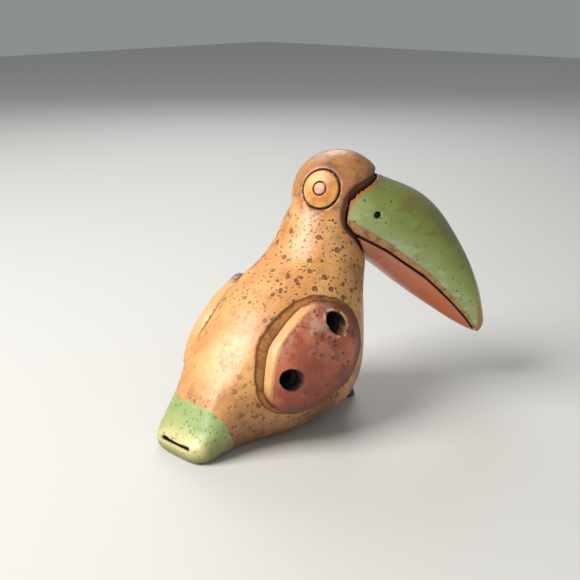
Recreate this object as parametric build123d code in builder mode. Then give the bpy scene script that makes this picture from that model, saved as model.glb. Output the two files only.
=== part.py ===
"""A hand-built toucan ocarina: a hollow clay bird that is blown through its tail.

Millimetres.  X runs from the tail towards the chest, Y to the bird's left, Z up from the table.
The origin is on the table, under the middle of the whole bird.
"""
from build123d import *
import os
from math import copysign, cos, pi, radians, sin

os.makedirs("parts", exist_ok=True)

# Overall sizes
BODY_LENGTH = 73.0          # tail end to the front of the throat
BODY_HEIGHT = 61.0          # table to the top of the neck
BODY_BREADTH = 50.4         # across the shoulders, without the wings
HEAD_RADIUS = 14.9
HEAD_TURN = 45.0            # degrees to the bird's right
BEAK_LENGTH = 50.0          # head centre to the end of the beak, along the level
BEAK_BREADTH = 29.8

# Clay
WALL = 4.4                  # wall of the sounding chamber
SLIP = 0.1                  # film of liquid clay around a peg or a lap
GROOVE_DEPTH = 1.0          # outline of the beak and the eyes, and depth of their seats
HEAD_HOLLOW_RADIUS = 8.0
VENT_RADIUS = 1.5           # lets the air in the head escape in the kiln

# Mouthpiece and voicing
WINDWAY_WIDTH = 12.5
WINDWAY_HEIGHT = 1.2
WINDWAY_FLOOR = 3.4         # above the table
WINDOW_START = 14.0
WINDOW_LENGTH = 4.6
LABIUM_EDGE = 0.6
LABIUM_RAMP = 7.0
THROAT_HEIGHT = 7.0

# Wings and finger holes
WING_PROUD = 1.9
FINGER_HOLE_RADIUS = 3.1

# Head details
EYE_RADIUS = 5.7
EYE_GROOVE = 0.7
PUPIL_RADIUS = 1.8
PUPIL_GROOVE = 0.5
EYE_TURN = 119.9            # degrees from the beak's heading
EYE_RISE = 20.6             # degrees above the level of the head centre
NOSTRIL_RADIUS = 1.1
NOSTRIL_PLACE = (10.9, -2.9)    # ahead of and above the head's centre
BEAK_GROOVE = 1.5           # groove around the root of the beak
MOUTH_GROOVE = 0.5          # incised line between the mandibles
MOUTH_GROOVE_DEPTH = 0.8
UPPER_PEG_RADIUS = 4.6
BEAK_PEG_DEPTH = 3.8

# Neck and feet
NECK_PEG_RADIUS = 5.2
NECK_PEG_DEPTH = 2.6
FOOT_SOLE_RADIUS = 3.3
FOOT_TOP_RADIUS = 4.0
FOOT_SPREAD = 8.2           # foot centre from the bird's middle
FOOT_BLANK = 14.0           # height of the foot before it is cut to the belly
FOOT_LEAN = 7.0             # the top of the foot stands this far behind the sole

# The tables below are drawn for a body 73 x 61 x 50.4 and a beak 50 x 23.2.
# They are stretched to the overall sizes above.
ALONG = BODY_LENGTH / 73.0
UPWARD = BODY_HEIGHT / 61.0
ACROSS = BODY_BREADTH / 50.4
BEAK_ALONG = BEAK_LENGTH / 50.0
BEAK_ACROSS = BEAK_BREADTH / 29.8

# Rings of the body: back x, back z, belly x, belly z, half breadth, squareness above and below
BODY_RINGS = [
    (-2.8, 4.9, -2.5, 0.8, 7.0, 2.6, 2.6),
    (-0.9, 6.2, -0.6, -0.5, 9.9, 3.0, 3.2),
    (4.5, 14.2, 10.0, -0.6, 12.0, 2.7, 3.2),
    (12.5, 25.2, 23.0, -0.6, 16.8, 2.3, 3.1),
    (20.0, 33.8, 37.0, -0.6, 22.0, 2.1, 2.8),
    (29.0, 41.3, 51.5, 0.6, 25.2, 2.0, 2.4),
    (37.5, 45.8, 61.5, 9.5, 24.0, 2.0, 2.1),
    (43.5, 49.8, 66.3, 25.0, 19.7, 2.0, 2.0),
    (47.7, 54.8, 69.9, 39.0, 16.2, 2.0, 2.0),
    (51.3, 61.5, 73.0, 49.0, 14.0, 2.0, 2.0),
    (56.5, 66.5, 76.5, 57.5, 11.0, 2.0, 2.0),
]

# Rings of the chamber's two rounded ends, in the same form
CHAMBER_TAIL = (17.5, 20.0, 23.0, 8.0, 8.5, 2.0, 2.0)
CHAMBER_TOP = (48.5, 43.5, 61.5, 33.5, 10.0, 2.0, 2.0)

# Rings of the beak in the head's own frame: culmen x, z, keel x, z, half breadth, squareness
BEAK_RINGS = [
    (3.0, 9.0, 0.0, -19.0, 14.9, 2.3, 2.2),
    (13.0, 6.8, 8.4, -20.4, 14.2, 2.1, 2.0),
    (23.0, 2.8, 15.8, -26.0, 11.9, 2.0, 2.0),
    (31.0, -3.0, 23.5, -31.8, 9.7, 2.0, 2.0),
    (38.0, -12.4, 30.5, -36.8, 7.6, 2.0, 2.0),
    (43.6, -22.8, 37.0, -41.2, 5.6, 2.0, 2.0),
    (47.4, -33.0, 42.5, -44.4, 4.0, 2.0, 2.0),
    (49.2, -42.0, 47.0, -46.4, 2.4, 2.0, 2.0),
]

# The mouth line in the head's own frame, from inside the head to beyond the tip
MOUTH_LINE = [(-6, -3.5), (2.6, -8), (7.7, -10.8), (14.3, -14.7), (20.9, -19.7), (27.8, -24.9),
              (33.2, -30.2), (36.9, -34), (41.9, -39.8), (46.5, -46.0), (52.0, -54.0)]

# Outline of a wing seen from the side: x, z
WING_OUTLINE = [(37.7, 40.4), (41.9, 40.6), (45.6, 39.3), (48.7, 36.2), (49.7, 32.0), (49.0, 27.0),
                (46.4, 22.0), (42.1, 16.5), (35.9, 12.6), (29.7, 10.8), (23.6, 11.3), (19.5, 13.5),
                (17.7, 16.7), (18.0, 21.4), (19.8, 26.2), (23.1, 31.2), (27.9, 35.4), (33.2, 38.8)]
FINGER_HOLES = [(23.5, 21.9), (40.6, 34.9)]

# Where the clay pieces meet: two points of each flat joint, seen from the side
TAIL_JOINT = ((4.5, 14.2), (10.0, -0.6))
SHELL_JOINT = ((0.0, 4.6), (70.0, 38.0))
NECK_JOINT = ((47.7, 54.8), (69.9, 39.0))
HEAD_JOINT = ((51.3, 61.5), (73.0, 49.0))
HEAD_CENTRE = (68.0, 64.4)
VENT_FOOT = (54.5, 37.0)    # where the vent enters the top of the chamber
FOOT_PLACE = 63.4

# The bird's own frame starts at the tail end; the origin is under the middle of the whole bird.
MIDDLE_X = 50.539
MIDDLE_Y = -4.319
BODY = Plane(origin=(-MIDDLE_X, -MIDDLE_Y, 0), x_dir=(1, 0, 0), z_dir=(0, 0, 1))
FAR = 90.0                  # longer than any cut


def spot(x, y, z):
    """A point of the bird's frame, in the frame of the model."""
    return Vector(x - MIDDLE_X, y - MIDDLE_Y, z)


def drawn(point, y=0.0):
    """A point (x, z) of the tables, stretched to the body's size."""
    return spot(point[0] * ALONG, y, point[1] * UPWARD)


HEAD = Plane(
    origin=drawn(HEAD_CENTRE),
    x_dir=(cos(radians(HEAD_TURN)), -sin(radians(HEAD_TURN)), 0),
    z_dir=(0, 0, 1),
)
BIRD_MIDDLE = Plane(origin=spot(0, 0, 0), x_dir=(1, 0, 0), z_dir=(0, -1, 0))
HEAD_MIDDLE = Plane(origin=HEAD.origin, x_dir=HEAD.x_dir, z_dir=-HEAD.y_dir)


def joint_plane(joint):
    """Flat joint through two drawn points, square to the bird's middle, facing the head."""
    upper = drawn(joint[0])
    lower = drawn(joint[1])
    rise = (upper - lower).normalized()
    return Plane(origin=(upper + lower) * 0.5, x_dir=(0, 1, 0), z_dir=(rise.Z, 0, -rise.X))


def half_oval(half_breadth, half_height, squareness, over, points=9):
    """Upper or lower half of an oval, from its left side to its right or back again."""
    start = 0 if over else pi
    marks = []
    for i in range(points):
        turn = start + pi * i / (points - 1)
        across = copysign(abs(cos(turn)) ** (2 / squareness), cos(turn))
        upward = copysign(abs(sin(turn)) ** (2 / squareness), sin(turn))
        marks.append((half_breadth * across, half_height * upward))
    steps = points - 1
    climb = marks[1][1] * pi / sin(pi / steps)
    return Edge.make_spline(
        marks,
        tangents=[(0, climb), (0, -climb)],
        parameters=[i / steps for i in range(points)],
        scale=False,
    )


def ring_plane(frame, ring, along, upward):
    """Plane of one ring, across the frame's middle plane, and the ring's height."""
    back = frame.from_local_coords(Vector(ring[0] * along, 0, ring[1] * upward))
    belly = frame.from_local_coords(Vector(ring[2] * along, 0, ring[3] * upward))
    rise = (back - belly).normalized()
    plane = Plane(origin=(back + belly) * 0.5, x_dir=frame.y_dir, z_dir=frame.y_dir.cross(rise))
    return plane, (back - belly).length


def clay_form(frame, rings, along, upward, across, grow):
    """Loft a smooth form through ovals that stand across the frame's middle plane."""
    with BuildPart() as form:
        for ring in rings:
            plane, height = ring_plane(frame, ring, along, upward)
            half_breadth = ring[4] * across + grow
            half_height = height / 2 + grow
            with BuildSketch(plane):
                with BuildLine():
                    add(half_oval(half_breadth, half_height, ring[5], True))
                    add(half_oval(half_breadth, half_height, ring[6], False))
                make_face()
        loft()
    return form.part


def body_form(grow):
    """The bird from tail to neck, thicker by grow all round.

    The rings turn too far for one loft, so tail and chest are lofted apart past the widest ring
    and meet on it.
    """
    widest = 5
    meeting, _ = ring_plane(BODY, BODY_RINGS[widest], ALONG, UPWARD)
    with BuildPart() as chest:
        add(clay_form(BODY, BODY_RINGS[widest - 1:], ALONG, UPWARD, ACROSS, grow))
        split(bisect_by=meeting, keep=Keep.TOP)
    with BuildPart() as form:
        add(clay_form(BODY, BODY_RINGS[:widest + 2], ALONG, UPWARD, ACROSS, grow))
        split(bisect_by=meeting, keep=Keep.BOTTOM)
        add(chest.part)
    return form.part


def chamber_form():
    """The sounding chamber: the body's own rings taken in by the wall, with rounded ends."""
    rings = []
    for back_x, back_z, belly_x, belly_z, half_breadth, upper, lower in BODY_RINGS[4:7]:
        rings.append((back_x, back_z, belly_x, belly_z, half_breadth - WALL / ACROSS, upper, lower))
    inner = []
    for back_x, back_z, belly_x, belly_z, half_breadth, upper, lower in rings:
        length = ((back_x - belly_x) ** 2 + (back_z - belly_z) ** 2) ** 0.5
        share = WALL / length
        inner.append((
            back_x + (belly_x - back_x) * share,
            back_z + (belly_z - back_z) * share,
            belly_x + (back_x - belly_x) * share,
            belly_z + (back_z - belly_z) * share,
            half_breadth, upper, lower,
        ))
    return clay_form(BODY, [CHAMBER_TAIL, *inner, CHAMBER_TOP], ALONG, UPWARD, ACROSS, 0)


def beak_form(grow):
    """The whole beak, both mandibles together."""
    return clay_form(HEAD, BEAK_RINGS, BEAK_ALONG, BEAK_ALONG, BEAK_ACROSS, grow)


def ray_plane(turn, rise, distance):
    """Plane square to a ray from the head's centre, at a distance along the ray."""
    level = cos(radians(rise))
    ray = Vector(level * cos(radians(turn)), level * sin(radians(turn)), sin(radians(rise)))
    way = HEAD.from_local_coords(ray) - HEAD.origin
    return Plane(origin=HEAD.origin + way * distance, z_dir=way)


TAIL_FACE = joint_plane(TAIL_JOINT)
NECK_FACE = joint_plane(NECK_JOINT)
HEAD_FACE = joint_plane(HEAD_JOINT)
shell_tail, shell_chest = drawn(SHELL_JOINT[0]), drawn(SHELL_JOINT[1])
shell_run = (shell_chest - shell_tail).normalized()
SHELL_FACE = Plane(origin=shell_tail, x_dir=(0, 1, 0), z_dir=(-shell_run.Z, 0, shell_run.X))

whole_body = body_form(0)
body_core = body_form(-GROOVE_DEPTH)
body_proud = body_form(WING_PROUD)
chamber = chamber_form()
whole_beak = beak_form(0)
beak_room = beak_form(BEAK_GROOVE)


def head_ball(radius):
    """Ball about the head's centre."""
    with BuildPart(Plane(origin=HEAD.origin)) as ball:
        Sphere(radius)
    return ball.part


def wing_prism():
    """Prism over the right wing's outline."""
    with BuildPart() as prism:
        with BuildSketch(Plane(origin=spot(0, -9, 0), x_dir=(1, 0, 0), z_dir=(0, -1, 0))):
            with BuildLine():
                Spline(*[(x * ALONG, z * UPWARD) for x, z in WING_OUTLINE], periodic=True)
            make_face()
        extrude(amount=FAR / 2)
    return prism.part


def eye_core(outer, inner):
    """Round bar, or tube, along the ray through the right eye."""
    with BuildPart() as bar:
        with BuildSketch(ray_plane(-EYE_TURN, EYE_RISE, HEAD_RADIUS * 0.7)):
            Circle(outer)
            if inner > 0:
                Circle(inner, mode=Mode.SUBTRACT)
        extrude(amount=HEAD_RADIUS * 0.6)
    return bar.part


def mouth_band(above, below):
    """Slab along the mouth line, reaching above and below it, right through the beak."""
    line = [(x * BEAK_ALONG, z * BEAK_ALONG) for x, z in MOUTH_LINE]
    with BuildPart() as band:
        with BuildSketch(HEAD_MIDDLE):
            with BuildLine():
                top = Spline(*[(x, z + above) for x, z in line])
                foot = Spline(*[(x, z - below) for x, z in line])
                Line(top @ 0, foot @ 0)
                Line(top @ 1, foot @ 1)
            make_face()
        extrude(amount=BEAK_BREADTH, both=True)
    return band.part


def bar_from(plane, radius, length):
    """Round bar that starts on a plane and runs along its normal."""
    with BuildPart() as bar:
        with BuildSketch(plane):
            Circle(radius)
        extrude(amount=length)
    return bar.part


# The surface that the beak and the eyes sit on, one groove depth under the skin
with BuildPart() as seat_core:
    add(body_core)
    add(head_ball(HEAD_RADIUS - GROOVE_DEPTH))

# Everything that is carved into the skin: the beak's seat and the eyes' seats
with BuildPart() as recesses:
    add(beak_room)
    right_eye_bar = eye_core(EYE_RADIUS + EYE_GROOVE, 0)
    add(right_eye_bar)
    mirror(right_eye_bar, about=HEAD_MIDDLE)
    add(seat_core.part, mode=Mode.SUBTRACT)

# The four finger holes, bored level from side to side
with BuildPart() as finger_bores:
    with BuildSketch(BIRD_MIDDLE):
        with Locations(*[(x * ALONG, z * UPWARD) for x, z in FINGER_HOLES]):
            Circle(FINGER_HOLE_RADIUS)
    extrude(amount=FAR / 2, both=True)

# The cord hole through the beak's root
with BuildPart() as nostril_bore:
    with BuildSketch(HEAD_MIDDLE):
        with Locations(NOSTRIL_PLACE):
            Circle(NOSTRIL_RADIUS)
    extrude(amount=BEAK_BREADTH, both=True)

# The vent from the head's hollow down to the chamber
vent_start = drawn(VENT_FOOT)
vent_run = HEAD.origin - vent_start
vent = bar_from(Plane(origin=vent_start, z_dir=vent_run), VENT_RADIUS, vent_run.length)

# The air's way in: windway, window, labium ramp and the throat above the window
window_end = WINDOW_START + WINDOW_LENGTH
throat_end = max(window_end, CHAMBER_TAIL[2] * ALONG)
throat_floor = WINDWAY_FLOOR + LABIUM_EDGE
with BuildPart() as voicing:
    with BuildSketch(Plane(origin=spot(0, 0, 0), x_dir=(1, 0, 0), z_dir=(0, -1, 0))):
        with BuildLine():
            Polyline(
                (-FAR / 4, WINDWAY_FLOOR),
                (WINDOW_START, WINDWAY_FLOOR),
                (WINDOW_START, -FAR / 4),
                (window_end + LABIUM_RAMP, -FAR / 4),
                (window_end + LABIUM_RAMP, 0),
                (window_end, WINDWAY_FLOOR),
                (window_end, throat_floor),
                (throat_end, throat_floor),
                (throat_end, throat_floor + THROAT_HEIGHT),
                (WINDOW_START, throat_floor + THROAT_HEIGHT),
                (WINDOW_START, WINDWAY_FLOOR + WINDWAY_HEIGHT),
                (-FAR / 4, WINDWAY_FLOOR + WINDWAY_HEIGHT),
                close=True,
            )
        make_face()
    extrude(amount=WINDWAY_WIDTH / 2, both=True)

# Body, neck and head as one skin of clay, carved and hollowed but not yet parted
with BuildPart() as clay:
    add(whole_body)
    add(head_ball(HEAD_RADIUS))
    split(bisect_by=Plane.XY, keep=Keep.TOP)
    add(recesses.part, mode=Mode.SUBTRACT)
    add(chamber, mode=Mode.SUBTRACT)
    add(head_ball(HEAD_HOLLOW_RADIUS), mode=Mode.SUBTRACT)
    add(vent, mode=Mode.SUBTRACT)
    add(voicing.part, mode=Mode.SUBTRACT)
    add(finger_bores.part, mode=Mode.SUBTRACT)
    add(nostril_bore.part, mode=Mode.SUBTRACT)


def finish(piece, name):
    """Name a piece, write it and tell its volume."""
    piece.part.label = name
    export_step(piece.part, f"parts/{name}.step")
    print(f"{name:18s} {piece.part.volume:10.1f} mm3  solids {len(piece.part.solids())}")


# ---- mouthpiece: roof and floor of the windway
with BuildPart() as mouthpiece_floor:
    add(clay.part)
    split(bisect_by=TAIL_FACE, keep=Keep.BOTTOM)
    split(bisect_by=Plane.XY.offset(WINDWAY_FLOOR), keep=Keep.BOTTOM)
finish(mouthpiece_floor, "mouthpiece_floor")

with BuildPart() as mouthpiece_roof:
    add(clay.part)
    split(bisect_by=TAIL_FACE, keep=Keep.BOTTOM)
    split(bisect_by=Plane.XY.offset(WINDWAY_FLOOR), keep=Keep.TOP)
finish(mouthpiece_roof, "mouthpiece_roof")

# ---- the two shells of the chamber, luted rim to rim
with BuildPart() as belly_shell:
    add(clay.part)
    split(bisect_by=TAIL_FACE, keep=Keep.TOP)
    split(bisect_by=NECK_FACE, keep=Keep.BOTTOM)
    split(bisect_by=SHELL_FACE, keep=Keep.BOTTOM)
finish(belly_shell, "belly_shell")

with BuildPart() as back_shell:
    add(clay.part)
    split(bisect_by=TAIL_FACE, keep=Keep.TOP)
    split(bisect_by=NECK_FACE, keep=Keep.BOTTOM)
    split(bisect_by=SHELL_FACE, keep=Keep.TOP)
    add(bar_from(NECK_FACE, NECK_PEG_RADIUS + SLIP, -(NECK_PEG_DEPTH + SLIP)), mode=Mode.SUBTRACT)
finish(back_shell, "back_shell")

# ---- neck and head, pegged one into the other
with BuildPart() as neck_collar:
    add(clay.part)
    split(bisect_by=NECK_FACE, keep=Keep.TOP)
    split(bisect_by=HEAD_FACE, keep=Keep.BOTTOM)
    add(bar_from(NECK_FACE, NECK_PEG_RADIUS, -NECK_PEG_DEPTH))
    add(bar_from(HEAD_FACE, NECK_PEG_RADIUS + SLIP, -(NECK_PEG_DEPTH + SLIP)), mode=Mode.SUBTRACT)
    add(vent, mode=Mode.SUBTRACT)
finish(neck_collar, "neck_collar")

beak_peg_start = HEAD_RADIUS - GROOVE_DEPTH - BEAK_PEG_DEPTH
with BuildPart() as head:
    add(clay.part)
    split(bisect_by=HEAD_FACE, keep=Keep.TOP)
    add(bar_from(HEAD_FACE, NECK_PEG_RADIUS, -NECK_PEG_DEPTH))
    add(vent, mode=Mode.SUBTRACT)
    add(
        bar_from(ray_plane(0, 0, beak_peg_start - SLIP), UPPER_PEG_RADIUS + SLIP, HEAD_RADIUS),
        mode=Mode.SUBTRACT,
    )
finish(head, "head")

# ---- the beak: two mandibles that meet along the mouth line
with BuildPart() as mouth_groove:
    add(mouth_band(MOUTH_GROOVE / 2, MOUTH_GROOVE / 2))
    add(beak_form(-MOUTH_GROOVE_DEPTH), mode=Mode.SUBTRACT)

with BuildPart() as upper_beak:
    add(whole_beak)
    add(seat_core.part, mode=Mode.SUBTRACT)
    add(mouth_band(0, FAR), mode=Mode.SUBTRACT)
    add(mouth_groove.part, mode=Mode.SUBTRACT)
    add(bar_from(ray_plane(0, 0, beak_peg_start), UPPER_PEG_RADIUS, BEAK_PEG_DEPTH + 2 * GROOVE_DEPTH))
    add(nostril_bore.part, mode=Mode.SUBTRACT)
finish(upper_beak, "upper_beak")

with BuildPart() as lower_beak:
    add(whole_beak)
    add(seat_core.part, mode=Mode.SUBTRACT)
    add(mouth_band(0, FAR), mode=Mode.INTERSECT)
    add(mouth_groove.part, mode=Mode.SUBTRACT)
finish(lower_beak, "lower_beak")

# ---- the eyes: a ring and a pupil let into the head on each side
with BuildPart() as right_eye_ring:
    add(head_ball(HEAD_RADIUS))
    add(eye_core(EYE_RADIUS, PUPIL_RADIUS + PUPIL_GROOVE), mode=Mode.INTERSECT)
    add(seat_core.part, mode=Mode.SUBTRACT)
finish(right_eye_ring, "right_eye_ring")

with BuildPart() as left_eye_ring:
    mirror(right_eye_ring.part, about=HEAD_MIDDLE)
finish(left_eye_ring, "left_eye_ring")

with BuildPart() as right_pupil:
    add(head_ball(HEAD_RADIUS))
    add(eye_core(PUPIL_RADIUS, 0), mode=Mode.INTERSECT)
    add(seat_core.part, mode=Mode.SUBTRACT)
finish(right_pupil, "right_pupil")

with BuildPart() as left_pupil:
    mirror(right_pupil.part, about=HEAD_MIDDLE)
finish(left_pupil, "left_pupil")

# ---- the wings: pads of clay luted onto the shells and bored with them
with BuildPart() as right_wing:
    add(body_proud)
    add(wing_prism(), mode=Mode.INTERSECT)
    add(whole_body, mode=Mode.SUBTRACT)
    add(finger_bores.part, mode=Mode.SUBTRACT)
finish(right_wing, "right_wing")

with BuildPart() as left_wing:
    add(body_proud)
    add(wing_prism().mirror(BIRD_MIDDLE), mode=Mode.INTERSECT)
    add(whole_body, mode=Mode.SUBTRACT)
    add(finger_bores.part, mode=Mode.SUBTRACT)
finish(left_wing, "left_wing")

# ---- the feet: leaning stubs that carry the chest
with BuildPart() as right_foot:
    with BuildSketch(Plane(origin=spot(FOOT_PLACE * ALONG, -FOOT_SPREAD, 0))):
        Circle(FOOT_SOLE_RADIUS)
    with BuildSketch(Plane(origin=spot(FOOT_PLACE * ALONG - FOOT_LEAN, -FOOT_SPREAD, FOOT_BLANK))):
        Circle(FOOT_TOP_RADIUS)
    loft()
    add(whole_body, mode=Mode.SUBTRACT)
finish(right_foot, "right_foot")

with BuildPart() as left_foot:
    mirror(right_foot.part, about=BIRD_MIDDLE)
finish(left_foot, "left_foot")
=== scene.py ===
"""Looks of the toucan ocarina: burnished clay, coloured slips, incised grooves."""
import math
import bmesh
import bpy
from mathutils import Matrix, Vector, geometry, noise
from mathutils.bvhtree import BVHTree


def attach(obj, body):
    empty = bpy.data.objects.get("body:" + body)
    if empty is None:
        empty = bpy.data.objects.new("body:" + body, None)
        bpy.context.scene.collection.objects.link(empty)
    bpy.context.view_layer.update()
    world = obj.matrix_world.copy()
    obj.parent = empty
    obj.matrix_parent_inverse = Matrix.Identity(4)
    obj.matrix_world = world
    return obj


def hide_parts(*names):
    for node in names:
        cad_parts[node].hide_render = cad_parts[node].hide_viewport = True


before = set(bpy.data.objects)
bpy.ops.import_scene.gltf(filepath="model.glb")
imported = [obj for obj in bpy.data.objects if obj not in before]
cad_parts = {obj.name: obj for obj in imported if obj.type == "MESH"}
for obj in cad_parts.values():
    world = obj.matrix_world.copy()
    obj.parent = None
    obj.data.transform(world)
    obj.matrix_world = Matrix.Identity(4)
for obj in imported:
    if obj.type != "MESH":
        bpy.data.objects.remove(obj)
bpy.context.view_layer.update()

MM = 0.001

# The bird's own measures and places, in the frame's millimetres
HEAD_CENTRE = Vector((17.461, 4.319, 64.4))
HEAD_RADIUS = 14.9
BEAK_WAY = Vector((math.cos(math.radians(45)), -math.sin(math.radians(45)), 0))
MOUTH_LINE = [(-6, -3.5), (2.6, -8), (7.7, -10.8), (14.3, -14.7), (20.9, -19.7), (27.8, -24.9),
              (33.2, -30.2), (36.9, -34), (41.9, -39.8), (46.5, -46.0), (52.0, -54.0)]
FINGER_HOLE_RADIUS = 3.1
FINGER_HOLES = [(-27.04, 21.9), (-9.94, 34.9)]
WING_MIDDLE = (-16.8, 25.8)
BODY_AXIS = (4.319, 24.0)
WING_GROOVE_WIDTH = (1.2, 3.4)      # below and ahead of the wing, and above its back edge
WING_GROOVE_DEPTH = 0.9
WING_ROOT = 1.0             # how far a wing reaches down into its groove
WING_RIM_DROP = {"right": 0.8, "left": 0.2}    # how far the upper back rim falls from the dome
WING_RIM_WIDTH = 5.0        # how far in from its edge a wing is rounded down
BEAK_GROOVE_WIDTH = 2.4
BEAK_GROOVE_DEPTH = 0.7
MOUTH_SLOPE = 38            # middling slope of the mouth line, in degrees
ON_SKIN = 0.06              # nearer than this, a corner lies on the shells
LUTING = 0.04               # swell that joins pieces that only touch
BLUR = 0.5                  # how far past a bore its painted shade reaches

# Size of the grains that each piece is worked in
WING_GRAIN = 0.32
BEAK_GRAIN = 0.36
EYE_GRAIN = 0.2
FOOT_GRAIN = 0.35
BIRD_GRAIN = 0.5
SIDES = ("right", "left")


def merged(node, swell=0.0):
    """Copy of a CAD node's mesh with its triangles joined, a little swollen if asked."""
    form = bmesh.new()
    form.from_mesh(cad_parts[node].data)
    bmesh.ops.remove_doubles(form, verts=form.verts, dist=1e-6)
    form.normal_update()
    if swell:
        for corner in form.verts:
            corner.co += corner.normal * swell * MM
    return form


def clay_object(name, form):
    """New object in the scene from a worked form."""
    mesh = bpy.data.meshes.new(name)
    form.to_mesh(mesh)
    form.free()
    thing = bpy.data.objects.new(name, mesh)
    bpy.context.scene.collection.objects.link(thing)
    return thing


def plain(thing):
    """Turn an object's modifiers into its mesh."""
    bpy.context.view_layer.update()
    seen = thing.evaluated_get(bpy.context.evaluated_depsgraph_get())
    mesh = bpy.data.meshes.new_from_object(seen)
    thing.modifiers.clear()
    old = thing.data
    thing.data = mesh
    bpy.data.meshes.remove(old)
    mesh.name = thing.name


def worked(thing, grain, strokes):
    """Model the clay afresh in grains of one size, then stroke it smooth."""
    remesh = thing.modifiers.new("grain", "REMESH")
    remesh.mode = "VOXEL"
    remesh.voxel_size = grain * MM
    if strokes:
        smooth = thing.modifiers.new("strokes", "SMOOTH")
        smooth.factor = 0.5
        smooth.iterations = strokes
    plain(thing)


def keep_largest(thing):
    """Drop bubbles that the hollow joints leave inside the clay."""
    form = bmesh.new()
    form.from_mesh(thing.data)
    left = set(form.verts)
    islands = []
    while left:
        first = left.pop()
        island = [first]
        queue = [first]
        while queue:
            for edge in queue.pop().link_edges:
                for corner in edge.verts:
                    if corner in left:
                        left.discard(corner)
                        island.append(corner)
                        queue.append(corner)
        islands.append(island)
    islands.sort(key=len)
    for island in islands[:-1]:
        bmesh.ops.delete(form, geom=island, context="VERTS")
    form.to_mesh(thing.data)
    form.free()


def tree_of(*things):
    """Search tree over the faces of one or more pieces."""
    corners = []
    faces = []
    for thing in things:
        start = len(corners)
        corners += [v.co.copy() for v in thing.data.vertices]
        faces += [[start + i for i in p.vertices] for p in thing.data.polygons]
    return BVHTree.FromPolygons(corners, faces)


def ease(low, high, value):
    """0 at low, 1 at high, with a soft start and stop."""
    share = min(1.0, max(0.0, (value - low) / (high - low)))
    return share * share * (3 - 2 * share)


def groove_share(across):
    """Depth of a groove at a place across it: 0 beside the piece it rings, 1 at its outer edge."""
    if across >= 1:
        return 0.0
    return (0.45 + 0.55 * (1 - across)) * (1 - ease(0.82, 1.0, across))


def place_corners(thing, places):
    thing.data.vertices.foreach_set("co", [value for place in places for value in place])
    thing.data.update()


def press(thing, shares, depth):
    """Press the skin in, each corner by its own share of a depth."""
    corners = thing.data.vertices
    place_corners(thing, [c.co - c.normal * depth * share * MM for c, share in zip(corners, shares)])


def paint(thing, name, values):
    """Store one measure for each corner, for the finishes to read."""
    layer = thing.data.attributes.new(name, "FLOAT", "POINT")
    layer.data.foreach_set("value", values)


def head_place(point):
    """A point in the head's frame: ahead along the beak and up, in millimetres."""
    way = point / MM - HEAD_CENTRE
    return way.dot(BEAK_WAY), way.z


def mouth_height(ahead):
    """Height of the mouth line at a distance along the beak."""
    for (x0, z0), (x1, z1) in zip(MOUTH_LINE, MOUTH_LINE[1:]):
        if ahead <= x1:
            return z0 + (z1 - z0) * (ahead - x0) / (x1 - x0)
    return MOUTH_LINE[-1][1]


def wing_lean(point):
    """How far a place beside a wing lies toward its upper back edge, 0 to 1."""
    ahead = point.x / MM - WING_MIDDLE[0]
    above = point.z / MM - WING_MIDDLE[1]
    return max(0.0, (0.6 * above - 0.8 * ahead) / max(1.0, math.hypot(ahead, above)))


def hole_distance(point):
    """Distance from the axis of the nearest finger hole, in millimetres."""
    return min(math.hypot(point.x / MM - x, point.z / MM - z) for x, z in FINGER_HOLES)


def outline_fence(thing):
    """Upright fence on a wing's outline, to measure how far its skin lies from the edge."""
    flat = [Vector((v.co.x, v.co.z)) for v in thing.data.vertices]
    ring = [flat[i] for i in geometry.convex_hull_2d(flat)]
    corners = [Vector((v.x, y, v.y)) for v in ring for y in (-0.05, 0.05)]
    count = len(ring)
    faces = []
    for i in range(count):
        j = (i + 1) % count
        faces.append([2 * i, 2 * j, 2 * j + 1, 2 * i + 1])
    return BVHTree.FromPolygons(corners, faces)


def enclosed(thing):
    """1 for each corner that looks out on its own clay all round, as in a bore, else 0."""
    tree = tree_of(thing)
    ways = [Vector(w) for w in ((1, 0, 0), (-1, 0, 0), (0, 1, 0), (0, -1, 0), (0, 0, 1), (0, 0, -1))]
    values = []
    for corner in thing.data.vertices:
        start = corner.co + corner.normal * 0.3 * MM
        ahead = [way for way in ways if way.dot(corner.normal) > 0.15]
        values.append(float(all(tree.ray_cast(start, way)[0] is not None for way in ahead)))
    return values


def hand_worked(thing, amount, size, seed):
    """Slow unevenness of a form shaped between the fingers."""
    shift = Vector((seed, seed * 2.3, seed * 0.7))
    corners = thing.data.vertices
    place_corners(thing, [c.co + c.normal * noise.noise(c.co / (size * MM) + shift) * amount * MM
                          for c in corners])


def shade_smooth(thing):
    thing.data.polygons.foreach_set("use_smooth", [True] * len(thing.data.polygons))
    thing.data.update()


# ---------------------------------------------------------------- forms
def toward_axis(point):
    """Way from a place on a wing straight in to the long axis of the body."""
    return Vector((0, BODY_AXIS[0] * MM - point.y, BODY_AXIS[1] * MM - point.z)).normalized()


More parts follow.
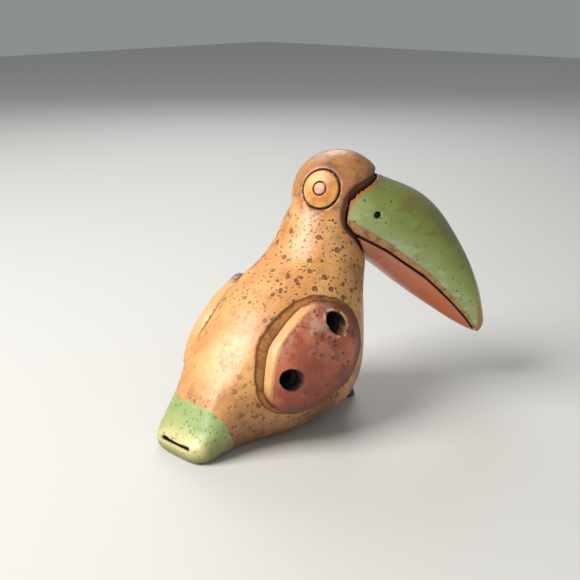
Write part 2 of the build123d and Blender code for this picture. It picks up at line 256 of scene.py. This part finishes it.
def make_wing(side):
    """A wing pad with its root let into the groove and its edges rounded by the thumb."""
    form = merged(side + "_wing")
    shells = [BVHTree.FromBMesh(merged(node)) for node in ("back_shell", "belly_shell")]
    for corner in form.verts:
        if any(shell.find_nearest(corner.co, ON_SKIN * MM)[0] is not None for shell in shells):
            corner.co += toward_axis(corner.co) * WING_ROOT * MM
    thing = clay_object(side + "_wing_pad", form)
    worked(thing, WING_GRAIN, 5)
    fence = outline_fence(thing)
    corners = thing.data.vertices
    for corner in corners:
        edge = fence.find_nearest(corner.co)[3] / MM
        drop = WING_RIM_DROP[side] * (1 - ease(0, WING_RIM_WIDTH, edge)) * (0.4 + 0.6 * wing_lean(corner.co))
        corner.co += toward_axis(corner.co) * drop * MM
    thing.data.update()
    hand_worked(thing, 0.12, 7, 3.1 if side == "right" else 8.7)
    hand_worked(thing, 0.05, 1.7, 6.3)
    paint(thing, "from_edge", [fence.find_nearest(c.co)[3] / MM for c in corners])
    paint(thing, "back_edge", [wing_lean(c.co) for c in corners])
    paint(thing, "from_hole", [hole_distance(c.co) for c in corners])
    return thing


def make_beak(half):
    """One half of the beak, with its place over the mouth and along the beak marked."""
    thing = clay_object(half + "_mandible", merged(half + "_beak"))
    worked(thing, BEAK_GRAIN, 3)
    hand_worked(thing, 0.14, 9, 5.2)
    places = [head_place(corner.co) for corner in thing.data.vertices]
    steepness = math.cos(math.radians(MOUTH_SLOPE))
    paint(thing, "over_mouth", [(up - mouth_height(ahead)) * steepness for ahead, up in places])
    paint(thing, "along_beak", [ahead for ahead, up in places])
    return thing


def make_small(node, name, grain, strokes):
    """A small lump with its edges rubbed round."""
    thing = clay_object(name, merged(node))
    worked(thing, grain, strokes)
    return thing


def make_bird():
    """Shells, neck, head and mouthpiece burnished into one skin."""
    whole = bmesh.new()
    for node in ("back_shell", "belly_shell", "neck_collar", "head", "mouthpiece_roof", "mouthpiece_floor"):
        part = merged(node, LUTING)
        scratch = bpy.data.meshes.new("scratch")
        part.to_mesh(scratch)
        part.free()
        whole.from_mesh(scratch)
        bpy.data.meshes.remove(scratch)
    thing = clay_object("burnished_bird", whole)
    worked(thing, BIRD_GRAIN, 2)
    keep_largest(thing)
    return thing


def reach_of(thing, tree, reach):
    """Distance of each of a piece's corners from other pieces, in millimetres."""
    values = []
    for corner in thing.data.vertices:
        hit = tree.find_nearest(corner.co, reach * MM)
        values.append(reach if hit[0] is None else hit[3] / MM)
    return values


def groove_bird(bird, wing_tree, beak_tree, eye_tree):
    """Press the grooves round wings and beak into the skin, and mark where the stain and the painted shade
    inside the bores lie.
    """
    corners = bird.data.vertices
    narrow, wide = WING_GROOVE_WIDTH
    widths = [narrow + (wide - narrow) * wing_lean(v.co) for v in corners]
    across_wing = [gap / width for gap, width in zip(reach_of(bird, wing_tree, 8), widths)]
    across_beak = [gap / BEAK_GROOVE_WIDTH for gap in reach_of(bird, beak_tree, 8)]
    paint(bird, "across_wing", across_wing)
    paint(bird, "across_beak", across_beak)
    paint(bird, "from_eye", reach_of(bird, eye_tree, 6))
    bores = [float(hole_distance(v.co) < FINGER_HOLE_RADIUS + BLUR) for v in corners]
    paint(bird, "inside", [max(pair) for pair in zip(enclosed(bird), bores)])
    press(bird, [groove_share(across) for across in across_wing], WING_GROOVE_DEPTH)
    press(bird, [groove_share(across) for across in across_beak], BEAK_GROOVE_DEPTH)
    hand_worked(bird, 0.22, 11, 1.7)
    hand_worked(bird, 0.05, 1.9, 4.4)
    rub_smooth(bird, across_beak)
    for corner in bird.data.vertices:
        corner.co.z = max(corner.co.z, 0.0)      # the sole is rubbed flat on the table


def rub_smooth(bird, across_beak):
    """Rub the groove round the beak well, and the whole skin once."""
    rubbed = bird.vertex_groups.new(name="rubbed")
    for index, across in enumerate(across_beak):
        if across < 2.0:
            rubbed.add([index], 1 - ease(1.4, 2.0, across), "REPLACE")
    for count, group in ((10, "rubbed"), (1, "")):
        after = bird.modifiers.new("strokes", "SMOOTH")
        after.factor = 0.5
        after.iterations = count
        after.vertex_group = group
    plain(bird)
    bird.vertex_groups.clear()


wings = {side: make_wing(side) for side in SIDES}
mandibles = {half: make_beak(half) for half in ("upper", "lower")}
eye_rings = {side: make_small(side + "_eye_ring", side + "_eye_band", EYE_GRAIN, 2) for side in SIDES}
pupils = {side: make_small(side + "_pupil", side + "_eye_dot", EYE_GRAIN, 2) for side in SIDES}
feet = {side: make_small(side + "_foot", side + "_foot_stub", FOOT_GRAIN, 6) for side in SIDES}
bird = make_bird()
groove_bird(bird, tree_of(*wings.values()), tree_of(*mandibles.values()), tree_of(*eye_rings.values()))
bird_tree = tree_of(bird)
for mandible in mandibles.values():
    paint(mandible, "off_skin", [bird_tree.find_nearest(v.co)[3] / MM for v in mandible.data.vertices])


# ---------------------------------------------------------------- finishes
def tone(red, green, blue):
    """A slip's colour as the eye names it, 0 to 255, turned to light."""
    def light(v):
        v /= 255
        return v / 12.92 if v <= 0.04045 else ((v + 0.055) / 1.055) ** 2.4
    return (light(red), light(green), light(blue), 1.0)


class Finish:
    """One material, built up coat by coat."""

    def __init__(self, name):
        self.material = bpy.data.materials.new(name)
        self.material.use_nodes = True
        self.nodes = self.material.node_tree.nodes
        self.links = self.material.node_tree.links
        self.shader = self.nodes["Principled BSDF"]
        self.object_place = self.nodes.new("ShaderNodeTexCoord").outputs["Object"]

    def join(self, source, socket):
        """Set a socket to a plain value, or link another node's output to it."""
        if isinstance(source, (int, float, tuple)):
            socket.default_value = source
        else:
            self.links.new(source, socket)

    def stretched(self, x, y, z, shift=0.0):
        """Places drawn out, so that a pattern runs in streaks."""
        node = self.nodes.new("ShaderNodeMapping")
        node.inputs["Scale"].default_value = (x, y, z)
        node.inputs["Location"].default_value = (shift, shift * 0.7, shift * 1.3)
        self.links.new(self.object_place, node.inputs["Vector"])
        return node.outputs["Vector"]

    def jostled(self, scale, amount):
        """Places shaken a little, so that round spots come out uneven."""
        shake = self.nodes.new("ShaderNodeTexNoise")
        shake.inputs["Scale"].default_value = scale
        shake.inputs["Detail"].default_value = 2.0
        self.links.new(self.object_place, shake.inputs["Vector"])
        centred = self.nodes.new("ShaderNodeVectorMath")
        centred.operation = "SUBTRACT"
        self.links.new(shake.outputs["Color"], centred.inputs[0])
        centred.inputs[1].default_value = (0.5, 0.5, 0.5)
        moved = self.nodes.new("ShaderNodeVectorMath")
        moved.operation = "MULTIPLY_ADD"
        self.links.new(centred.outputs["Vector"], moved.inputs[0])
        moved.inputs[1].default_value = (amount, amount, amount)
        self.links.new(self.object_place, moved.inputs[2])
        return moved.outputs["Vector"]

    def noise(self, scale, detail=4.0, roughness=0.55, place=None):
        node = self.nodes.new("ShaderNodeTexNoise")
        node.inputs["Scale"].default_value = scale
        node.inputs["Detail"].default_value = detail
        node.inputs["Roughness"].default_value = roughness
        self.links.new(place or self.object_place, node.inputs["Vector"])
        return node.outputs["Fac"]

    def cells(self, scale, place=None):
        """Distance to the nearest seed point, and a random number for each seed."""
        node = self.nodes.new("ShaderNodeTexVoronoi")
        node.inputs["Scale"].default_value = scale
        self.links.new(place or self.object_place, node.inputs["Vector"])
        split = self.nodes.new("ShaderNodeSeparateColor")
        self.links.new(node.outputs["Color"], split.inputs["Color"])
        return node.outputs["Distance"], split.outputs["Red"]

    def value(self, name):
        """A measure that was painted on the piece."""
        node = self.nodes.new("ShaderNodeAttribute")
        node.attribute_name = name
        return node.outputs["Fac"]

    def place(self):
        node = self.nodes.new("ShaderNodeSeparateXYZ")
        self.links.new(self.object_place, node.inputs["Vector"])
        return node.outputs["X"], node.outputs["Y"], node.outputs["Z"]

    def maths(self, kind, first, second):
        node = self.nodes.new("ShaderNodeMath")
        node.operation = kind
        self.join(first, node.inputs[0])
        self.join(second, node.inputs[1])
        return node.outputs["Value"]

    def between(self, value, low, high):
        """0 at low, 1 at high, eased; low may be the larger."""
        node = self.nodes.new("ShaderNodeMapRange")
        node.interpolation_type = "SMOOTHSTEP"
        flip = low > high
        node.inputs["From Min"].default_value = high if flip else low
        node.inputs["From Max"].default_value = low if flip else high
        node.inputs["To Min"].default_value = 1.0 if flip else 0.0
        node.inputs["To Max"].default_value = 0.0 if flip else 1.0
        self.join(value, node.inputs["Value"])
        return node.outputs["Result"]

    def both(self, first, second):
        return self.maths("MULTIPLY", first, second)

    def coat(self, under, over, share):
        """Lay one colour over another by a share from 0 to 1."""
        node = self.nodes.new("ShaderNodeMix")
        node.data_type = "RGBA"
        self.join(share, node.inputs["Factor"])
        self.join(under, node.inputs["A"])
        self.join(over, node.inputs["B"])
        return node.outputs["Result"]

    def specks(self, scale, size, softness=0.1, keep=0.5, place=None):
        """Round spots of mixed sizes; keep is the share of seeds that show."""
        distance, chance = self.cells(scale, place)
        radius = self.maths("MULTIPLY", self.maths("SUBTRACT", chance, 1 - keep), size / keep)
        gap = self.maths("SUBTRACT", radius, distance)
        return self.between(gap, 0.0, softness)

    def ringed_specks(self, scale, size, keep, place):
        """Specks that are darkest round their edge, and the paler heart of each."""
        distance, chance = self.cells(scale, place)
        radius = self.maths("MULTIPLY", self.maths("SUBTRACT", chance, 1 - keep), size / keep)
        gap = self.maths("SUBTRACT", radius, distance)
        return self.between(gap, 0.0, 0.09), self.between(gap, 0.17, 0.28)

    def finish(self, colour, rough, relief, height=0.00012, gloss=0.25, gloss_rough=0.2):
        self.join(colour, self.shader.inputs["Base Color"])
        self.join(rough, self.shader.inputs["Roughness"])
        self.shader.inputs["Coat Weight"].default_value = gloss
        self.shader.inputs["Coat Roughness"].default_value = gloss_rough
        bump = self.nodes.new("ShaderNodeBump")
        bump.inputs["Distance"].default_value = height
        bump.inputs["Strength"].default_value = 1.0
        self.links.new(relief, bump.inputs["Height"])
        self.links.new(bump.outputs["Normal"], self.shader.inputs["Normal"])
        self.links.new(bump.outputs["Normal"], self.shader.inputs["Coat Normal"])
        return self.material


def burnished_clay():
    """Ochre body clay with iron specks, smoked patches, dark grooves and the green tail, with painted shade
    low down, in the crease at the beak root and inside the bores.
    """
    f = Finish("burnished_clay")
    x, _, z = f.place()
    cloud = f.noise(70, 5)
    broad = f.noise(28, 3)
    fine_cloud = f.noise(210, 6, 0.7)
    wing = f.value("across_wing")
    beak = f.value("across_beak")
    eye = f.value("from_eye")
    colour = f.coat(tone(222, 166, 102), tone(204, 142, 80), f.between(cloud, 0.38, 0.62))
    colour = f.coat(colour, tone(176, 114, 58), f.both(f.between(broad, 0.5, 0.68), 0.7))
    colour = f.coat(colour, tone(150, 90, 46), f.both(f.between(fine_cloud, 0.52, 0.66), 0.45))
    low = f.between(z, 0.024, 0.008)
    belly = f.between(z, 0.012, 0.003)
    crown = f.between(z, 0.062, 0.078)
    shoulder = f.both(f.between(z, 0.032, 0.043), f.between(z, 0.068, 0.058))
    near_face = f.maths("MAXIMUM", f.between(eye, 5.5, 1.5), f.between(beak, 2.6, 1.0))
    colour = f.coat(colour, tone(168, 98, 50), f.both(near_face, 0.55))
    colour = f.coat(colour, tone(146, 92, 54), f.both(crown, 0.6))
    head_mottle = f.both(f.between(f.noise(170, 6, 0.7), 0.48, 0.6), f.between(z, 0.054, 0.064))
    colour = f.coat(colour, tone(122, 72, 40), f.both(head_mottle, 0.55))
    # painted shade: darker towards the bottom, on the lower side and the belly
    colour = f.coat(colour, tone(126, 70, 32), f.both(low, 0.42))
    colour = f.coat(colour, tone(92, 48, 22), f.both(belly, 0.55))
    patches = f.noise(95, 6, 0.65)
    smoked = f.both(f.between(patches, 0.47, 0.6), f.maths("MAXIMUM", crown, low))
    colour = f.coat(colour, tone(104, 66, 42), f.both(smoked, 0.65))
    chest_cloud = f.between(f.noise(120, 6, 0.7), 0.46, 0.58)
    chest = f.both(chest_cloud, f.both(shoulder, f.between(x, -0.006, 0.012)))
    colour = f.coat(colour, tone(116, 88, 70), f.both(chest, 0.6))
    dense = f.maths("MAXIMUM", shoulder, low)
    patchy = f.between(f.noise(85, 3), 0.40, 0.60)
    reach = f.maths("ADD", f.both(dense, 0.9), f.both(patchy, 0.5))
    uneven = f.jostled(900, 0.0011)
    large, large_heart = f.ringed_specks(430, 0.46, 0.85, uneven)
    small = f.specks(880, 0.46, 0.1, 0.9, uneven)
    fine = f.specks(1500, 0.42, 0.1, 0.7, uneven)
    marks = f.both(f.maths("MAXIMUM", f.both(large, 0.9), f.both(small, 0.75)), reach)
    marks = f.maths("MAXIMUM", f.maths("MINIMUM", marks, 1.0), f.both(fine, f.both(reach, 0.45)))
    colour = f.coat(colour, tone(96, 54, 28), f.both(marks, 0.9))
    colour = f.coat(colour, tone(150, 98, 56), f.both(f.both(large_heart, reach), 0.45))
    # green slip on the tail, with a brushed edge
    slope = f.maths("ADD", f.maths("MULTIPLY", x, 0.919), f.maths("MULTIPLY", z, 0.394))
    edge = f.maths("ADD", slope, f.maths("MULTIPLY", f.noise(160, 3), 0.0012))
    tail = f.between(edge, -0.0356, -0.0360)
    mint = f.coat(tone(140, 164, 96), tone(162, 180, 118), f.between(cloud, 0.4, 0.62))
    mint = f.coat(mint, tone(176, 170, 108), f.both(f.between(patches, 0.48, 0.6), 0.6))
    mint = f.coat(mint, tone(104, 104, 46), f.both(f.between(fine_cloud, 0.54, 0.66), 0.6))
    # painted shade: the tail darker towards its bottom, as on the belly
    mint = f.coat(mint, tone(98, 84, 36), f.both(f.between(z, 0.009, 0.002), 0.6))
    tail_end = f.both(f.between(x, -0.0490, -0.0520), f.between(z, 0.001, 0.004))
    mint = f.coat(mint, tone(196, 186, 124), tail_end)
    mint = f.coat(mint, tone(92, 72, 34), f.both(small, 0.5))
    colour = f.coat(colour, mint, tail)
    # stain in the grooves, darkest right beside the wings; beside the beak the darkest band is painted shade
    # where its root stands proud
    wobble = f.maths("MULTIPLY", f.noise(260, 4), 0.35)
    wing_place = f.maths("ADD", wing, wobble)
    wing_stain = f.between(wing_place, 1.28, 1.08)
    outer_line = f.both(f.between(wing_place, 0.98, 1.1), f.between(wing_place, 1.3, 1.14))
    beak_stain = f.between(f.maths("ADD", beak, wobble), 1.5, 0.95)
    eye_stain = f.between(eye, 0.95, 0.6)
    floor_clay = f.coat(tone(184, 122, 58), tone(136, 80, 34), f.between(fine_cloud, 0.42, 0.6))
    colour = f.coat(colour, floor_clay, f.both(wing_stain, 0.9))
    colour = f.coat(colour, tone(88, 46, 20), f.both(outer_line, 0.7))
    colour = f.coat(colour, tone(64, 32, 15), f.both(f.between(wing, 0.42, 0.12), 0.85))
    colour = f.coat(colour, tone(92, 48, 22), f.both(beak_stain, 0.92))
    # painted shade: darkest in the crease where the beak root stands proud
    colour = f.coat(colour, tone(48, 24, 12), f.both(f.between(beak, 0.45, 0.15), 0.85))
    colour = f.coat(colour, tone(52, 26, 13), f.both(eye_stain, 0.95))
    # painted shade: dark inside the bores and the chamber
    inside = f.between(f.value("inside"), 0.35, 0.75)
    colour = f.coat(colour, tone(24, 12, 7), inside)
    stain = f.maths("MAXIMUM", f.maths("MAXIMUM", wing_stain, beak_stain), inside)
    rough = f.maths("ADD", f.maths("MULTIPLY", f.noise(420, 4), 0.25), 0.30)
    rough = f.maths("ADD", rough, f.both(stain, 0.45))
    rub = f.noise(900, 3, 0.6, f.stretched(1, 1, 0.25))
    relief = f.maths("SUBTRACT", f.maths("MULTIPLY", rub, 0.4), f.both(marks, 0.6))
    relief = f.maths("ADD", relief, f.maths("MULTIPLY", fine_cloud, 0.5))
    return f.finish(colour, rough, relief, 0.00018, 0.28, 0.26)


def coral_slip():
    """Coral slip of the wings, smoked in patches and deeper red low down, partly painted shade; the cream on
    the upper back rim is partly wear and partly painted highlight.
    """
    f = Finish("coral_slip")
    x, _, z = f.place()
    cloud = f.noise(120, 5)
    fine_cloud = f.noise(260, 6, 0.72)
    edge = f.value("from_edge")
    back = f.value("back_edge")
    hole = f.value("from_hole")
    colour = f.coat(tone(194, 108, 76), tone(172, 80, 50), f.between(cloud, 0.4, 0.62))
    # deeper red clouds low on the wing, partly painted shade
    lower = f.between(z, 0.030, 0.016)
    red_cloud = f.between(f.noise(75, 4), 0.44, 0.58)
    colour = f.coat(colour, tone(150, 60, 32), f.both(red_cloud, lower))
    smoked = f.both(f.between(f.noise(210, 6, 0.7), 0.45, 0.58), f.between(x, -0.030, -0.006))
    colour = f.coat(colour, tone(98, 58, 44), f.both(smoked, 0.75))
    front_shade = f.both(f.between(edge, 4.5, 0.8), f.between(back, 0.35, 0.0))
    colour = f.coat(colour, tone(112, 58, 36), front_shade)
    upper_back = f.both(f.between(z, 0.024, 0.036), f.between(x, -0.006, -0.014))
    pale = f.both(f.between(fine_cloud, 0.46, 0.58), upper_back)
    colour = f.coat(colour, tone(190, 164, 138), f.both(pale, 0.55))
    uneven = f.jostled(900, 0.0011)
    large = f.specks(560, 0.44, 0.08, 0.75, uneven)
    small = f.specks(1050, 0.42, 0.1, 0.75, uneven)
    spots = f.maths("MAXIMUM", large, f.both(small, 0.8))
    reach = f.maths("ADD", 0.35, f.both(f.between(x, -0.028, -0.008), 0.65))
    spots = f.both(spots, reach)
    colour = f.coat(colour, tone(82, 44, 30), f.both(spots, 0.85))
    # the rim cream along the upper back edge, partly worn and partly painted highlight where the light
    # falls; darker where the slip stops
    ragged = f.maths("ADD", edge, f.maths("MULTIPLY", f.noise(420, 4), 0.7))
    rim = f.both(f.between(ragged, 1.2, 0.9), f.between(back, 0.25, 0.6))
    colour = f.coat(colour, tone(214, 164, 104), f.both(rim, 0.9))
    front_rim = f.both(f.between(ragged, 1.0, 0.6), f.between(back, 0.5, 0.2))
    colour = f.coat(colour, tone(96, 50, 24), front_rim)
    chipped = f.both(f.between(f.noise(520, 3), 0.46, 0.54), f.between(hole, 4.1, 3.7))
    colour = f.coat(colour, tone(216, 166, 116), f.both(chipped, f.between(z, 0.028, 0.031)))
    # a darker ring round each hole's mouth, then painted shade down the bore
    colour = f.coat(colour, tone(70, 34, 18), f.both(f.between(hole, 3.55, 3.25), 0.6))
    bore = f.between(hole, 3.22, 3.05)
    colour = f.coat(colour, tone(26, 13, 8), bore)
    rough = f.maths("ADD", f.maths("MULTIPLY", f.noise(500, 4), 0.3), 0.30)
    rough = f.maths("ADD", rough, f.both(bore, 0.6))
    relief = f.maths("SUBTRACT", f.maths("MULTIPLY", f.noise(800, 4), 0.5), f.both(spots, 0.6))
    relief = f.maths("ADD", relief, f.maths("MULTIPLY", fine_cloud, 0.6))
    return f.finish(colour, rough, relief, 0.00018, 0.25, 0.28)


def raw_band(f, colour, over, along, low, root_width):
    """Unpainted clay along the mouth, with iron specks; it narrows toward the tip."""
    width = f.maths("SUBTRACT", root_width, f.maths("MULTIPLY", along, 0.034))
    wobble = f.maths("MULTIPLY", f.noise(260, 3), 0.9)
    above = f.maths("SUBTRACT", f.maths("ADD", over, wobble), width)
    bare = f.both(f.between(above, 0.62, 0.3), f.between(over, low - 0.15, low + 0.15))
    clay = f.coat(tone(190, 126, 66), tone(206, 146, 84), f.noise(200, 4))
    clay = f.coat(clay, tone(128, 72, 32), f.both(f.between(f.noise(330, 5, 0.7), 0.48, 0.62), 0.8))
    clay = f.coat(clay, tone(84, 44, 20), f.both(f.specks(1300, 0.46, 0.1, 0.8), 0.85))
    line = f.both(f.between(above, 0.1, 0.45), f.between(above, 0.9, 0.5))
    colour = f.coat(colour, tone(98, 72, 30), f.both(line, 0.6))
    return f.coat(colour, clay, bare)


def green_slip():
    """Glossy green slip of the upper beak, paler by the mouth and olive along the ridge, with a painted
    highlight in pale mint streaks by the mouth.
    """
    f = Finish("green_slip")
    over = f.value("over_mouth")
    along = f.value("along_beak")
    off_skin = f.value("off_skin")
    drawn_out = f.stretched(0.35, 0.35, 1.0)
    streak = f.noise(300, 5, 0.6, drawn_out)
    share = f.maths("ADD", over, f.maths("MULTIPLY", f.maths("SUBTRACT", streak, 0.5), 7.0))
    colour = f.coat(tone(158, 174, 106), tone(140, 156, 74), f.between(share, 3.0, 10.0))
    colour = f.coat(colour, tone(120, 122, 54), f.between(share, 10.0, 17.0))
    # painted highlight: pale mint streaks by the mouth
    mint = f.both(f.between(streak, 0.5, 0.66), f.between(share, 10.0, 4.0))
    colour = f.coat(colour, tone(184, 198, 150), f.both(mint, 0.8))
    worn = f.both(f.between(f.noise(150, 5, 0.65, drawn_out), 0.55, 0.64), f.between(share, 9.0, 13.0))
    colour = f.coat(colour, tone(128, 104, 52), f.both(worn, 0.7))
    stain = f.between(f.noise(420, 6, 0.7), 0.56, 0.68)
    colour = f.coat(colour, tone(88, 78, 34), f.both(stain, 0.5))
    pits = f.specks(620, 0.3, 0.05, 0.25)
    colour = f.coat(colour, tone(60, 48, 22), f.both(pits, 0.75))
    # clay left bare round the root and at the tip
    root = f.maths("ADD", off_skin, f.maths("MULTIPLY", f.noise(300, 3), 1.6))
    bare_root = f.both(f.between(root, 2.5, 2.1), f.between(over, 1.5, 5.0))
    colour = f.coat(colour, tone(190, 118, 60), bare_root)
    tip = f.between(f.maths("ADD", along, f.maths("MULTIPLY", f.noise(400, 3), 1.5)), 46.6, 47.8)
    colour = f.coat(colour, tone(170, 118, 56), tip)
    colour = raw_band(f, colour, over, along, -1.0, 2.9)
    colour = f.coat(colour, tone(58, 30, 14), f.between(over, 0.55, 0.2))
    # painted shade where the mandible meets the skin at its root
    colour = f.coat(colour, tone(70, 36, 16), f.both(f.between(off_skin, 0.5, 0.15), 0.85))
    rough = f.maths("ADD", f.maths("MULTIPLY", streak, 0.25), 0.10)
    rough = f.maths("ADD", rough, f.both(f.between(over, 3.4, 2.6), 0.3))
    relief = f.maths("SUBTRACT", f.maths("MULTIPLY", streak, 0.8), f.both(pits, 0.6))
    return f.finish(colour, rough, relief, 0.0002, 0.8, 0.09)


def coral_beak_slip():
    """Coral slip of the lower beak, turning orange at the keel."""
    f = Finish("coral_beak_slip")
    over = f.value("over_mouth")
    along = f.value("along_beak")
    off_skin = f.value("off_skin")
    drawn_out = f.stretched(0.4, 0.4, 1.0, 0.3)
    streak = f.noise(320, 5, 0.6, drawn_out)
    share = f.maths("ADD", along, f.maths("MULTIPLY", f.maths("SUBTRACT", streak, 0.5), 14.0))
    colour = f.coat(tone(220, 134, 100), tone(216, 116, 66), f.between(share, 18.0, 34.0))
    greyed = f.both(f.between(f.noise(380, 5, 0.7), 0.5, 0.62), f.between(along, 22, 8))
    colour = f.coat(colour, tone(188, 160, 122), f.both(greyed, 0.6))
    spots = f.specks(900, 0.36, 0.08, 0.45)
    colour = f.coat(colour, tone(132, 56, 28), f.both(spots, 0.7))
    tip = f.between(f.maths("ADD", along, f.maths("MULTIPLY", f.noise(400, 3), 1.5)), 45.4, 46.8)
    colour = f.coat(colour, tone(186, 128, 58), tip)
    colour = f.coat(colour, tone(196, 116, 62), f.both(f.between(off_skin, 1.3, 0.7), 0.6))
    colour = f.coat(colour, tone(58, 30, 14), f.between(over, -0.75, -0.3))
    # painted shade where the mandible meets the skin at its root
    colour = f.coat(colour, tone(70, 36, 16), f.both(f.between(off_skin, 0.5, 0.15), 0.85))
    rough = f.maths("ADD", f.maths("MULTIPLY", streak, 0.3), 0.2)
    relief = f.maths("SUBTRACT", f.maths("MULTIPLY", streak, 0.7), f.both(spots, 0.4))
    return f.finish(colour, rough, relief, 0.00016, 0.5, 0.16)


def plain_slip(name, light, dark):
    """A dull slip of one colour, clouded and finely specked."""
    f = Finish(name)
    cloud = f.noise(260, 5)
    colour = f.coat(light, dark, f.between(cloud, 0.4, 0.68))
    spots = f.specks(1100, 0.33, 0.08, 0.3)
    colour = f.coat(colour, tone(110, 62, 32), f.both(spots, 0.45))
    rough = f.maths("ADD", f.maths("MULTIPLY", f.noise(500, 4), 0.25), 0.34)
    relief = f.maths("SUBTRACT", f.maths("MULTIPLY", f.noise(1100, 3), 0.4), f.both(spots, 0.3))
    return f.finish(colour, rough, relief, 0.0001, 0.2, 0.3)


def dress(thing, material, slot_name, *nodes):
    """Give a piece its finish, fix it to the root body, and hide the CAD nodes it stands for."""
    thing.data.materials.clear()
    thing.data.materials.append(material)
    shade_smooth(thing)
    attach(thing, "root")
    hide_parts(*nodes)


dress(bird, burnished_clay(), "body_clay", "back_shell", "belly_shell", "neck_collar", "head",
      "mouthpiece_roof", "mouthpiece_floor")
coral = coral_slip()
ochre = plain_slip("ochre_slip", tone(216, 160, 84), tone(186, 118, 52))
pink = plain_slip("pink_slip", tone(222, 156, 126), tone(190, 112, 84))
# painted shade: the feet get a darker copy of the body clay, as they sit in the shade under the belly
dark = plain_slip("shade_darkened_clay", tone(128, 78, 44), tone(80, 46, 26))
for side in SIDES:
    dress(wings[side], coral, "wing_coral", side + "_wing")
    dress(eye_rings[side], ochre, "eye_ochre", side + "_eye_ring")
    dress(pupils[side], pink, "pupil_pink", side + "_pupil")
    dress(feet[side], dark, "foot_clay", side + "_foot")
dress(mandibles["upper"], green_slip(), "beak_green", "upper_beak")
dress(mandibles["lower"], coral_beak_slip(), "beak_coral", "lower_beak")


# ---------------------------------------------------------------- studio
def studio():
    """Pale floor and three soft lamps."""
    world = bpy.data.worlds.new("studio")
    bpy.context.scene.world = world
    world.use_nodes = True
    world.node_tree.nodes["Background"].inputs["Color"].default_value = (0.86, 0.92, 0.93, 1)
    world.node_tree.nodes["Background"].inputs["Strength"].default_value = 0.30
    form = bmesh.new()
    bmesh.ops.create_grid(form, x_segments=2, y_segments=2, size=1.5)
    floor = clay_object("floor", form)
    paper = bpy.data.materials.new("paper")
    paper.use_nodes = True
    paper.node_tree.nodes["Principled BSDF"].inputs["Base Color"].default_value = (0.60, 0.59, 0.57, 1)
    paper.node_tree.nodes["Principled BSDF"].inputs["Roughness"].default_value = 0.6
    floor.data.materials.append(paper)

    def lamp(name, place, aim, size, power, colour):
        data = bpy.data.lights.new(name, "AREA")
        data.shape = "RECTANGLE"
        data.size, data.size_y = size
        data.energy = power
        data.color = colour
        thing = bpy.data.objects.new(name, data)
        thing.location = place
        thing.rotation_euler = (Vector(aim) - Vector(place)).to_track_quat("-Z", "Y").to_euler()
        bpy.context.scene.collection.objects.link(thing)

    lamp("window", (-0.42, 0.22, 0.5), (0, 0, 0.04), (0.4, 0.35), 6.4, (1.0, 0.97, 0.93))
    lamp("fill", (-0.25, -0.6, 0.25), (0, 0, 0.04), (0.6, 0.5), 0.6, (1.0, 0.96, 0.92))
    lamp("back", (0.4, 0.45, 0.45), (0, 0, 0.05), (0.4, 0.3), 1.6, (0.95, 0.98, 1.0))


def camera():
    """The view from behind the bird's right side, a little above."""
    data = bpy.data.cameras.new("camera")
    data.lens = 55.86
    data.sensor_width = 36.0
    data.clip_start = 0.01
    thing = bpy.data.objects.new("camera", data)
    bpy.context.scene.collection.objects.link(thing)
    forward = Vector((0.694, 0.647, -0.317)).normalized()
    right = Vector((0.682, -0.731, 0)).normalized()
    up = right.cross(forward).normalized()
    turn = Matrix((right, up, -forward)).transposed().to_4x4()
    thing.matrix_world = Matrix.Translation(Vector((-0.1981, -0.1758, 0.1268))) @ turn
    bpy.context.scene.camera = thing


studio()
camera()
bpy.context.scene.view_settings.view_transform = "Standard"
